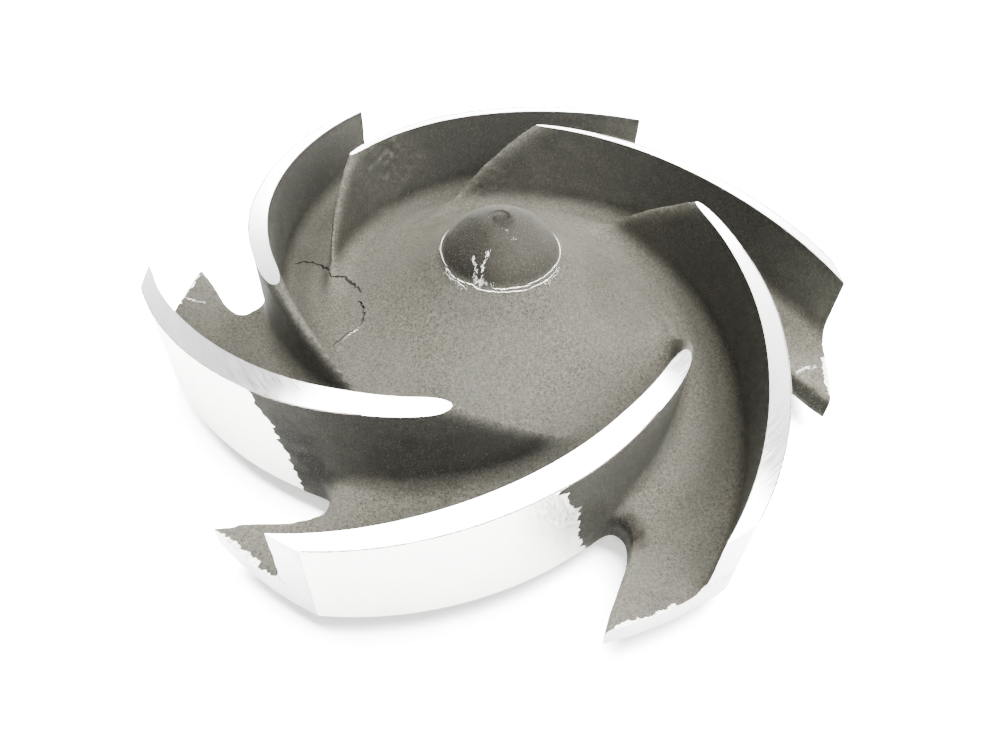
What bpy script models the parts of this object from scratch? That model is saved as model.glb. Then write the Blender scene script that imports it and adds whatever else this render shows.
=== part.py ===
"""Semi-open pump impeller, one iron casting: six swept vanes on a scalloped shroud.

Units are metres. +Z runs along the rotation axis towards the nose, and the origin
is the centre of the flat back boss on which the impeller rests. Vane 0 has the
outer corner of its hollow side on +X, and the vanes sweep backwards, clockwise
outwards as seen from the nose.
"""
import math

import bmesh
import bpy
from mathutils import Matrix, Vector

# Driving dimensions
RIM_RADIUS = 0.127
VANE_COUNT = 6
BOSS_HEIGHT = 0.0127
BOSS_RADIUS = 0.036
BOSS_FILLET = 0.004
BORE_RADIUS = 0.019
BORE_DEPTH = 0.042
BORE_CHAMFER = 0.0015

# Heights above the back face of the shroud
RIM_CORNER_HEIGHT = 0.300 * RIM_RADIUS
NOSE_TOP_HEIGHT = 0.500 * RIM_RADIUS
NOSE_SPHERE_RADIUS = 0.182 * RIM_RADIUS
NOSE_RING_RADIUS = 0.169 * RIM_RADIUS
CENTRE_MARK_RADIUS = 0.030 * RIM_RADIUS
CENTRE_MARK_DEPTH = 0.012 * RIM_RADIUS

# Cast front of the hub and shroud: radius and height as shares of the rim radius
HUB_PROFILE = [
    (0.210, 0.344), (0.250, 0.306), (0.300, 0.270), (0.350, 0.239), (0.400, 0.212),
    (0.450, 0.188), (0.505, 0.164), (0.560, 0.143), (0.610, 0.124), (0.660, 0.107),
    (0.710, 0.095), (0.760, 0.088), (0.880, 0.080), (1.000, 0.075),
]

# Vane: wrap angle, half thickness and the rise of the front edge as polynomials in
# t = 1 - radius / rim radius
WRAP = (0.045, 2.435, -0.856, 9.181, -3.899)
HALF_THICKNESS = (0.019, 0.106, -0.253)
FRONT_RISE = (0.0, 0.260, 0.004, 0.371)
VANE_FOOT_FLARE = 0.034 * RIM_RADIUS
VANE_FOOT_HEIGHT = 0.055 * RIM_RADIUS
FOOT_LEVELS = (-0.20, 0.25)
# The foot's spread ends on the vane's back where the scallop opens, and shrinks to
# a share of itself towards the rim on the hollow side
BACK_FADE = (0.700, 0.765)
HOLLOW_FADE = (0.720, 0.950)
HOLLOW_FADE_SHARE = 0.55

# Rounded leading edge: length along the vane, lean towards its back, the nose lengths
# over which the lean dies out, and the share of the vane with the closer stations
NOSE_LENGTH = 0.085 * RIM_RADIUS
NOSE_LEAN = 0.010 * RIM_RADIUS
LEAN_REACH = 4.0
NOSE_SHARE = 0.030
# Its radius is a polynomial in s, which is 0 at the machined tip and 1 at the foot,
# and the drop below the tip is LEAD_DROP of s
LEAD_RADIUS = (0.608, -0.111, 0.010)
LEAD_DROP = (0.249, 0.044)
LEAD_TIP_HEIGHT = 0.425

# Scallop between a vane's ground back and the next web: radius as a share of the
# rim radius, and angle in degrees ahead of the vane's corner
SCALLOP_WEB_EDGE = [
    (1.300, 0.0), (1.300, 22.0), (1.300, 42.0),
    (1.060, 43.6), (1.000, 45.3), (0.960, 46.6), (0.920, 48.5), (0.885, 50.4),
    (0.860, 52.0), (0.830, 53.7), (0.800, 55.0), (0.780, 55.6), (0.760, 55.7),
    (0.743, 55.0), (0.733, 53.8), (0.731, 52.0), (0.736, 50.0), (0.748, 47.7),
]
# Each web stands a few degrees further round than the first, less so past the rim
SCALLOP_SHIFT = [0.0, 1.0, 4.0, 2.0, 0.0, 1.0]
SHIFT_FADE = (0.860, 1.060)
# Stretch of the vane's back that is ground, and how deep
GROUND_BACK = (0.738, 1.060)
GRINDING_DEPTH = 0.0004

# Stock left for the cutters, which reach past it
BLANK_RADIUS = 1.04 * RIM_RADIUS
CUTTER_RADIUS = 1.20 * RIM_RADIUS
CUTTER_TOP = BOSS_HEIGHT + 0.60 * RIM_RADIUS

# Mesh fineness
SEGMENTS = 96
SIDE_STATIONS = 16
NOSE_STATIONS = 4
UPPER_LEVELS = 4
DOME_STEPS = 5
BACK_STATIONS = 10
SETTLING_ROUNDS = 8
SHARP_ANGLE = 35.0


def polynomial(coefficients, value):
    """Value of a polynomial whose first coefficient is the constant one."""
    return sum(c * value ** power for power, c in enumerate(coefficients))


def smooth_height(radius):
    """Height of the cast hub and shroud front at a radius, above the shroud's back."""
    points = [(r * RIM_RADIUS, z * RIM_RADIUS) for r, z in HUB_PROFILE]
    for (r0, z0), (r1, z1) in zip(points, points[1:]):
        if radius <= r1:
            return z0 + (z1 - z0) * (radius - r0) / (r1 - r0)
    return points[-1][1]


def front_height(radius):
    """Height of the machined front edges at a radius, above the shroud's back."""
    share = 1.0 - radius / RIM_RADIUS
    return RIM_CORNER_HEIGHT + RIM_RADIUS * polynomial(FRONT_RISE, share)


def leading_radius(height):
    """Radius of the leading edge at a height above the shroud's back."""
    drop = LEAD_TIP_HEIGHT - height / RIM_RADIUS
    linear, square = LEAD_DROP
    s = (-linear + math.sqrt(max(linear ** 2 + 4 * square * drop, 0.0))) / (2 * square)
    return RIM_RADIUS * polynomial(LEAD_RADIUS, s)


def mean_line(radius):
    """Point of vane 0's mean line, unit normal towards its back, and blade sine."""
    share = 1.0 - radius / RIM_RADIUS
    step = 0.001
    angle = polynomial(WRAP, share)
    slope = polynomial(WRAP, share - step) - polynomial(WRAP, share + step)
    slope *= radius / (2 * step * RIM_RADIUS)
    sine = 1.0 / math.sqrt(1.0 + slope ** 2)
    along = Vector((
        math.cos(angle) - slope * math.sin(angle),
        math.sin(angle) + slope * math.cos(angle),
    )) * sine
    point = Vector((math.cos(angle), math.sin(angle))) * radius
    return point, Vector((-along.y, along.x)), sine


def half_thickness(radius):
    """Half the vane's thickness at a radius."""
    return RIM_RADIUS * polynomial(HALF_THICKNESS, 1.0 - radius / RIM_RADIUS)


def back_point(radius, offset):
    """Point on vane 0's back at a mean line radius, moved out by an offset."""
    point, normal, _ = mean_line(radius)
    return point + normal * (half_thickness(radius) + offset)


def faded(limits, radius):
    """Share from 0 to 1 between two radii given as shares of the rim radius."""
    low, high = limits
    return min(max((radius / RIM_RADIUS - low) / (high - low), 0.0), 1.0)


def foot_flare(height, radius, side):
    """How far a side of the vane's foot (+1 back, -1 hollow) spreads at a height
    above the shroud's front."""
    share = max(1.0 - height / VANE_FOOT_HEIGHT, 0.0)
    if side > 0:
        kept = 1.0 - faded(BACK_FADE, radius)
    else:
        kept = 1.0 - HOLLOW_FADE_SHARE * faded(HOLLOW_FADE, radius)
    return VANE_FOOT_FLARE * kept * share ** 2


def turned(name, profile, segments):
    """Solid turned about the axis from (radius, height) points, bottom to top."""
    mesh = bmesh.new()
    rings = []
    for radius, height in profile:
        if radius == 0.0:
            rings.append([mesh.verts.new((0.0, 0.0, height))])
            continue
        rings.append([
            mesh.verts.new((radius * math.cos(a), radius * math.sin(a), height))
            for a in (2 * math.pi * k / segments for k in range(segments))
        ])
    for low, high in zip(rings, rings[1:] + rings[:1]):
        for k in range(segments):
            corners = [
                low[k % len(low)], low[(k + 1) % len(low)],
                high[(k + 1) % len(high)], high[k % len(high)],
            ]
            unique = list(dict.fromkeys(corners))
            if len(unique) > 2:
                mesh.faces.new(unique)
    return finished(name, mesh)


def finished(name, mesh):
    """New object from a closed bmesh, with its faces pointing out."""
    bmesh.ops.recalc_face_normals(mesh, faces=mesh.faces)
    if mesh.calc_volume(signed=True) < 0.0:
        bmesh.ops.reverse_faces(mesh, faces=mesh.faces)
    data = bpy.data.meshes.new(name)
    mesh.to_mesh(data)
    mesh.free()
    thing = bpy.data.objects.new(name, data)
    bpy.context.collection.objects.link(thing)
    return thing


def combine(target, tool, operation):
    """Applies a Boolean of the tool to the target and removes the tool.

    The manifold solver is used because the exact one leaves open edges where the
    vanes' feet meet the shroud.
    """
    modifier = target.modifiers.new(tool.name, "BOOLEAN")
    modifier.operation = operation
    modifier.object = tool
    modifier.solver = "MANIFOLD"
    graph = bpy.context.evaluated_depsgraph_get()
    data = bpy.data.meshes.new_from_object(target.evaluated_get(graph))
    target.modifiers.clear()
    target.data = data
    bpy.data.objects.remove(tool)


def hub_and_shroud():
    """Turned body: boss, shroud and domed nose, with the blind bore."""
    nose_top = BOSS_HEIGHT + NOSE_TOP_HEIGHT
    sphere_centre = nose_top - NOSE_SPHERE_RADIUS
    profile = [
        (BORE_RADIUS + BORE_CHAMFER, 0.0), (BOSS_RADIUS, 0.0),
        (BOSS_RADIUS, BOSS_HEIGHT - BOSS_FILLET),
        (BOSS_RADIUS + BOSS_FILLET, BOSS_HEIGHT), (BLANK_RADIUS, BOSS_HEIGHT),
        (BLANK_RADIUS, BOSS_HEIGHT + smooth_height(BLANK_RADIUS)),
    ]
    for radius, _ in reversed(HUB_PROFILE):
        radius *= RIM_RADIUS
        profile.append((radius, BOSS_HEIGHT + smooth_height(radius)))
    first = math.asin(NOSE_RING_RADIUS / NOSE_SPHERE_RADIUS)
    last = math.asin(CENTRE_MARK_RADIUS / NOSE_SPHERE_RADIUS)
    for k in range(DOME_STEPS + 1):
        angle = first + (last - first) * k / DOME_STEPS
        profile.append((NOSE_SPHERE_RADIUS * math.sin(angle),
                        sphere_centre + NOSE_SPHERE_RADIUS * math.cos(angle)))
    profile.append((0.0, profile[-1][1] - CENTRE_MARK_DEPTH))
    profile += [(0.0, BORE_DEPTH), (BORE_RADIUS, BORE_DEPTH), (BORE_RADIUS, BORE_CHAMFER)]
    return turned("hub_and_shroud", profile, SEGMENTS)


def vane_point(share, side, lift, rise):
    """Point of a side of vane 0 (+1 back, -1 hollow).

    share runs from 0 at the leading edge to 1 past the rim. A point of the foot has
    its lift, the height above the shroud's front, and no rise; any other point has
    its rise, a share of the height above the foot. The height and the point's radius
    depend on each other, so they settle in a few rounds.
    """
    radius = RIM_RADIUS
    for _ in range(SETTLING_ROUNDS):
        foot = smooth_height(radius)
        if rise is None:
            height = foot + lift
        else:
            low = foot + VANE_FOOT_HEIGHT
            height = low + (front_height(radius) - low) * rise
        flare = foot_flare(height - foot, radius, side)
        edge = leading_radius(height)
        sine = mean_line(edge)[2]
        edge -= flare * sine + NOSE_LEAN * math.sqrt(1.0 - sine ** 2)
        mean = edge + (BLANK_RADIUS - edge) * share
        point, normal, _ = mean_line(mean)
        along = (mean - edge) / sine
        nose = NOSE_LENGTH + flare
        fullness = math.sqrt(1.0 - (1.0 - min(along / nose, 1.0)) ** 2)
        lean = NOSE_LEAN * max(1.0 - along / (LEAN_REACH * nose), 0.0)
        point += normal * (side * (half_thickness(mean) + flare) * fullness + lean)
        radius = point.length
    return point.x, point.y, height + BOSS_HEIGHT


def vane(number):
    """One vane, from inside the shroud to above the machined front."""
    turn = Matrix.Rotation(2 * math.pi * number / VANE_COUNT, 3, "Z")
    shares = [NOSE_SHARE * (1 - math.cos(0.5 * math.pi * k / NOSE_STATIONS))
              for k in range(1, NOSE_STATIONS)]
    shares += [NOSE_SHARE + (1.0 - NOSE_SHARE) * k / SIDE_STATIONS
               for k in range(SIDE_STATIONS + 1)]
    levels = [(level * VANE_FOOT_HEIGHT, None) for level in FOOT_LEVELS]
    levels += [(0.0, k / UPPER_LEVELS) for k in range(UPPER_LEVELS + 1)]
    mesh = bmesh.new()
    loops = []
    for lift, rise in levels:
        stations = [(share, -1) for share in reversed(shares)]
        stations.append((0.0, 1))
        stations += [(share, 1) for share in shares]
        loops.append([
            mesh.verts.new(turn @ Vector(vane_point(share, side, lift, rise)))
            for share, side in stations
        ])
    count = len(loops[0])
    for low, high in zip(loops, loops[1:]):
        for k in range(count):
            after = (k + 1) % count
            mesh.faces.new((low[k], low[after], high[after], high[k]))
    for loop in (loops[0], loops[-1]):
        for k in range(count // 2 - 1):
            mesh.faces.new((loop[k], loop[k + 1], loop[-2 - k], loop[-1 - k]))
        middle = count // 2
        mesh.faces.new((loop[middle - 1], loop[middle], loop[middle + 1]))
    return finished("vane", mesh)


def rim_cutter():
    """Tube that turns the shroud and the vane ends down to the rim radius."""
    profile = [
        (RIM_RADIUS, -BOSS_HEIGHT), (CUTTER_RADIUS, -BOSS_HEIGHT),
        (CUTTER_RADIUS, CUTTER_TOP), (RIM_RADIUS, CUTTER_TOP),
    ]
    return turned("rim_cutter", profile, 2 * SEGMENTS)


def scallop_cutter(number):
    """Prism that opens the rim behind a vane and grinds the vane's back flush."""
    turn = Matrix.Rotation(2 * math.pi * number / VANE_COUNT, 3, "Z")
    shift = math.radians(SCALLOP_SHIFT[number])
    outline = []
    for share, degrees in SCALLOP_WEB_EDGE:
        radius = share * RIM_RADIUS
        angle = math.radians(degrees) + shift * (1.0 - faded(SHIFT_FADE, radius))
        outline.append(Vector((math.cos(angle), math.sin(angle))) * radius)
    inner, outer = GROUND_BACK
    for k in range(BACK_STATIONS + 1):
        share = inner + (outer - inner) * k / BACK_STATIONS
        outline.append(back_point(share * RIM_RADIUS, -GRINDING_DEPTH))
    mesh = bmesh.new()
    low, high = (
        [mesh.verts.new(turn @ Vector((p.x, p.y, height))) for p in outline]
        for height in (-BOSS_HEIGHT, CUTTER_TOP)
    )
    count = len(outline)
    for k in range(count):
        after = (k + 1) % count
        mesh.faces.new((low[k], low[after], high[after], high[k]))
    caps = [mesh.faces.new(low), mesh.faces.new(high)]
    bmesh.ops.triangulate(mesh, faces=caps)
    return finished("scallop_cutter", mesh)


def cast_iron():
    """Grey as-cast metal."""
    material = bpy.data.materials.new("cast_iron")
    material.use_nodes = True
    shader = material.node_tree.nodes["Principled BSDF"]
    shader.inputs["Base Color"].default_value = (0.16, 0.155, 0.145, 1.0)
    shader.inputs["Roughness"].default_value = 0.6
    shader.inputs["Metallic"].default_value = 0.7
    return material


def build():
    """The whole casting, trimmed and ground as one solid."""
    for old in list(bpy.data.objects):
        bpy.data.objects.remove(old)
    casting = hub_and_shroud()
    casting.name = "impeller_casting"
    for number in range(VANE_COUNT):
        combine(casting, vane(number), "UNION")
    combine(casting, rim_cutter(), "DIFFERENCE")
    for number in range(VANE_COUNT):
        combine(casting, scallop_cutter(number), "DIFFERENCE")
    casting.data.name = casting.name
    casting.data.materials.clear()
    casting.data.materials.append(cast_iron())
    casting.data.shade_smooth()
    casting.data.set_sharp_from_angle(angle=math.radians(SHARP_ANGLE))


build()
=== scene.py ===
"""Semi-open pump impeller: one iron casting with turned vane edges and ground vane backs.

The casting is rebuilt at full detail from the same sizes as its CAD solid, in
metres, with +Z along the axis towards the nose and the back boss on the floor.
"""
from __future__ import annotations

import logging
import math
from dataclasses import dataclass
from enum import Enum
from random import Random

import bmesh
import bpy
import numpy as np
from mathutils import Matrix, Vector, noise
from mathutils.bvhtree import BVHTree


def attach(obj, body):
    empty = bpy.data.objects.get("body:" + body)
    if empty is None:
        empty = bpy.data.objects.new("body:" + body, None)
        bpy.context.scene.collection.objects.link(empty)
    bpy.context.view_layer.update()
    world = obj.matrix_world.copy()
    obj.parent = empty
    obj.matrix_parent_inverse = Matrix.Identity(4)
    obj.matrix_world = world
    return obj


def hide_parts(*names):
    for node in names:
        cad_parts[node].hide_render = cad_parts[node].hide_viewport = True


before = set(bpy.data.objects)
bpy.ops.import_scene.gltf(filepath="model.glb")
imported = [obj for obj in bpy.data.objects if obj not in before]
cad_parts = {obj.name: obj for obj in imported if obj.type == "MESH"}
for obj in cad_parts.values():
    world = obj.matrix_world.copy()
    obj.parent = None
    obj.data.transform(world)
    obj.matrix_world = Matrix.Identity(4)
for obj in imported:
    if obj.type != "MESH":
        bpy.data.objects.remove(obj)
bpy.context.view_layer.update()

LOG = logging.getLogger("impeller")
NODE = "impeller_casting"
CASTING = "casting"
BODY = "root"
SHARP_CORNER = 35

Point = tuple[float, float, float]
Profile = list[tuple[float, float]]


class Surface(Enum):
    """Finishes of the casting, in the order of its material slots."""

    CAST_SKIN = 0
    TURNED_FRONT = 1
    GROUND_BACK = 2
    TURNED_RIM = 3
    FACED_BACK = 4
    BROKEN_EDGE = 5
    CRACK = 6
    BURR_PAINTED_SHADE = 7


# Shape laws


def polynomial(coefficients: tuple[float, ...], value: float) -> float:
    """Value of a polynomial.

    Args:
        coefficients: Constant term first.
        value: Where it is taken.

    Returns:
        The polynomial's value.
    """
    return sum(c * value ** power for power, c in enumerate(coefficients))


def smoothstep(low: float, high: float, value: float) -> float:
    """Smooth rise from 0 at low to 1 at high.

    Args:
        low: Where the rise starts.
        high: Where it ends.
        value: Where it is taken.

    Returns:
        A share from 0 to 1.
    """
    share = min(max((value - low) / (high - low), 0.0), 1.0)
    return share * share * (3.0 - 2.0 * share)


@dataclass(frozen=True)
class CastingLaw:
    """Sizes and curves of the casting, with heights above the shroud's back."""

    rim_radius: float = 0.127
    vane_count: int = 6
    boss_height: float = 0.0127
    boss_radius: float = 0.036
    boss_fillet: float = 0.004
    bore_radius: float = 0.019
    bore_depth: float = 0.042
    bore_chamfer: float = 0.0015
    rim_corner: float = 0.300
    nose_top: float = 0.500
    nose_sphere: float = 0.182
    nose_ring: float = 0.169
    mark_radius: float = 0.030
    mark_depth: float = 0.012
    hub: tuple[tuple[float, float], ...] = (
        (0.150, 0.404), (0.190, 0.365), (0.250, 0.306), (0.350, 0.239), (0.450, 0.188),
        (0.560, 0.143), (0.660, 0.107), (0.760, 0.088), (0.880, 0.080), (1.000, 0.075),
        (1.100, 0.072),
    )
    wrap: tuple[float, ...] = (0.045, 2.435, -0.856, 9.181, -3.899)
    half_thickness: tuple[float, ...] = (0.019, 0.106, -0.253)
    front_rise: tuple[float, ...] = (0.0, 0.260, 0.004, 0.371)
    lead_radius: tuple[float, ...] = (0.608, -0.111, 0.010)
    lead_drop: tuple[float, float] = (0.249, 0.044)
    lead_tip: float = 0.425
    nose_length: float = 0.085
    nose_lean: float = 0.010
    flare: float = 0.034
    flare_height: float = 0.055

    def hub_height(self, radius: float) -> float:
        """Height of the cast hub and shroud front.

        Args:
            radius: Distance from the axis, in metres.

        Returns:
            Height above the shroud's back, in metres.
        """
        share = radius / self.rim_radius
        points = self.hub
        last = len(points) - 1
        if share <= points[0][0]:
            return points[0][1] * self.rim_radius
        for k in range(last):
            if share <= points[k + 1][0]:
                break
        else:
            return points[last][1] * self.rim_radius
        (x0, y0), (x1, y1) = points[k], points[k + 1]
        before, after = points[max(k - 1, 0)], points[min(k + 2, last)]
        slope0 = (y1 - before[1]) / (x1 - before[0])
        slope1 = (after[1] - y0) / (after[0] - x0)
        span = x1 - x0
        u = (share - x0) / span
        height = (
            y0 * (1 + 2 * u) * (1 - u) ** 2 + slope0 * span * u * (1 - u) ** 2
            + y1 * u * u * (3 - 2 * u) + slope1 * span * u * u * (u - 1)
        )
        return height * self.rim_radius

    def front_height(self, radius: float) -> float:
        """Height of the turned vane edges at a radius, both in metres."""
        share = 1.0 - radius / self.rim_radius
        return self.rim_radius * (self.rim_corner + polynomial(self.front_rise, share))

    def lead_edge(self, height: float) -> float:
        """Radius of the vanes' leading edge at a height, both in metres."""
        drop = self.lead_tip - height / self.rim_radius
        linear, square = self.lead_drop
        root = math.sqrt(max(linear ** 2 + 4 * square * drop, 0.0))
        return self.rim_radius * polynomial(self.lead_radius, (root - linear) / (2 * square))

    def mean_line(self, radius: float) -> tuple[float, float, float, float, float]:
        """Mean line of vane 0.

        Args:
            radius: Distance from the axis, in metres.

        Returns:
            x and y of the line, x and y of the unit normal towards the vane's
            back, and the sine of the blade angle.
        """
        share = 1.0 - radius / self.rim_radius
        step = 0.001
        angle = polynomial(self.wrap, share)
        slope = polynomial(self.wrap, share - step) - polynomial(self.wrap, share + step)
        slope *= radius / (2 * step * self.rim_radius)
        sine = 1.0 / math.sqrt(1.0 + slope ** 2)
        along_x = (math.cos(angle) - slope * math.sin(angle)) * sine
        along_y = (math.sin(angle) + slope * math.cos(angle)) * sine
        return radius * math.cos(angle), radius * math.sin(angle), -along_y, along_x, sine

    def thickness(self, radius: float) -> float:
        """Half the vane's thickness at a radius, both in metres."""
        share = 1.0 - radius / self.rim_radius
        return self.rim_radius * polynomial(self.half_thickness, share)

    def foot_flare(self, height: float, radius: float, side: int) -> float:
        """How far a vane's foot spreads.

        Args:
            height: Height above the shroud's front, in metres.
            radius: Distance from the axis, in metres.
            side: 1 on the vane's back, -1 on its hollow side.

        Returns:
            The spread in metres, square to the vane.
        """
        share = min(max(1.0 - height / (self.flare_height * self.rim_radius), 0.0), 1.2)
        outer = radius / self.rim_radius
        fade = smoothstep(0.68, 0.735, outer) if side > 0 else 0.55 * smoothstep(0.72, 0.95, outer)
        return self.flare * self.rim_radius * (1.0 - fade) * share ** 2

    def back_point(self, radius: float, offset: float) -> tuple[float, float]:
        """x and y on vane 0's back at a mean-line radius, moved out by an offset."""
        x, y, nx, ny, _ = self.mean_line(radius)
        reach = self.thickness(radius) + offset
        return x + nx * reach, y + ny * reach


LAW = CastingLaw()


# Mesh tools


def finished(name: str, mesh: bmesh.types.BMesh, surface: Surface = Surface.CAST_SKIN) -> bpy.types.Object:
    """New object from a closed bmesh.

    Args:
        name: Name of the object and its mesh.
        mesh: Closed mesh, freed here.
        surface: Finish of its faces.

    Returns:
        The object, with its faces pointing out.
    """
    bmesh.ops.recalc_face_normals(mesh, faces=mesh.faces)
    if mesh.calc_volume(signed=True) < 0.0:
        bmesh.ops.reverse_faces(mesh, faces=mesh.faces)
    data = bpy.data.meshes.new(name)
    mesh.to_mesh(data)
    mesh.free()
    thing = bpy.data.objects.new(name, data)
    bpy.context.collection.objects.link(thing)
    for entry in Surface:
        data.materials.append(placeholder(entry))
    data.polygons.foreach_set("material_index", [surface.value] * len(data.polygons))
    return thing


def placeholder(surface: Surface) -> bpy.types.Material:
    """The material of a finish by its name, made empty the first time."""
    name = surface.name.lower()
    return bpy.data.materials.get(name) or bpy.data.materials.new(name)


def turned(
    name: str, profile: Profile, segments: int, surface: Surface = Surface.CAST_SKIN,
    wobble: list[list[tuple[float, float]]] | None = None,
) -> bpy.types.Object:
    """Solid turned about the axis.

    Args:
        name: Name of the object.
        profile: (radius, height) points round the section.
        segments: Number of steps round the axis.
        surface: Finish of its faces.
        wobble: Section for each step instead of the one profile.

    Returns:
        The closed solid.
    """
    mesh = bmesh.new()
    rings = []
    for index, (radius, height) in enumerate(profile):
        if radius == 0.0:
            rings.append([mesh.verts.new((0.0, 0.0, height))])
            continue
        ring = []
        for k in range(segments):
            if wobble:
                radius, height = wobble[k][index]
            angle = 2 * math.pi * k / segments
            ring.append(mesh.verts.new((radius * math.cos(angle), radius * math.sin(angle), height)))
        rings.append(ring)
    for low, high in zip(rings, rings[1:] + rings[:1]):
        for k in range(segments):
            corners = [
                low[k % len(low)], low[(k + 1) % len(low)],
                high[(k + 1) % len(high)], high[k % len(high)],
            ]
            unique = list(dict.fromkeys(corners))
            if len(unique) > 2:
                mesh.faces.new(unique)
    return finished(name, mesh, surface)


def lofted(name: str, loops: list[list[Point]], surface: Surface = Surface.CAST_SKIN) -> bpy.types.Object:
    """Solid through closed loops of points with flat ends.

    Args:
        name: Name of the object.
        loops: Loops with the same number of points each.
        surface: Finish of its faces.

    Returns:
        The closed solid.
    """
    mesh = bmesh.new()
    rings = [[mesh.verts.new(point) for point in loop] for loop in loops]
    count = len(rings[0])
    for low, high in zip(rings, rings[1:]):
        for k in range(count):
            after = (k + 1) % count
            mesh.faces.new((low[k], low[after], high[after], high[k]))
    caps = [mesh.faces.new(rings[0]), mesh.faces.new(rings[-1])]
    bmesh.ops.triangulate(mesh, faces=caps)
    return finished(name, mesh, surface)


def spun(point: Point, number: float) -> Point:
    """A point of vane 0 turned about the axis to the same place on another vane."""
    turn = 2 * math.pi * number / LAW.vane_count
    x, y, z = point
    return (x * math.cos(turn) - y * math.sin(turn), x * math.sin(turn) + y * math.cos(turn), z)


def polar(share: float, degrees: float, height: float) -> Point:
    """Point from a share of the rim radius, an angle, and metres above the shroud's back."""
    radius, angle = share * LAW.rim_radius, math.radians(degrees)
    return (radius * math.cos(angle), radius * math.sin(angle), height + LAW.boss_height)


def cut(target: bpy.types.Object, tool: bpy.types.Object) -> None:
    """Takes a tool's shape out of the target.

    Args:
        target: Object whose mesh changes.
        tool: Closed solid, removed here.
    """
    modifier = target.modifiers.new(tool.name, "BOOLEAN")
    modifier.operation = "DIFFERENCE"
    modifier.object = tool
    modifier.solver = "MANIFOLD"
    baked(target)
    bpy.data.objects.remove(tool)


def baked(target: bpy.types.Object) -> None:
    """Makes the target's modifiers part of its mesh."""
    graph = bpy.context.evaluated_depsgraph_get()
    data = bpy.data.meshes.new_from_object(target.evaluated_get(graph))
    target.modifiers.clear()
    target.data = data


def joined(target: bpy.types.Object, others: list[bpy.types.Object]) -> None:
    """Moves the meshes of other objects into the target's mesh."""
    mesh = bmesh.new()
    mesh.from_mesh(target.data)
    for other in others:
        mesh.from_mesh(other.data)
        bpy.data.objects.remove(other)
    mesh.to_mesh(target.data)
    mesh.free()


# The casting


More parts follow.
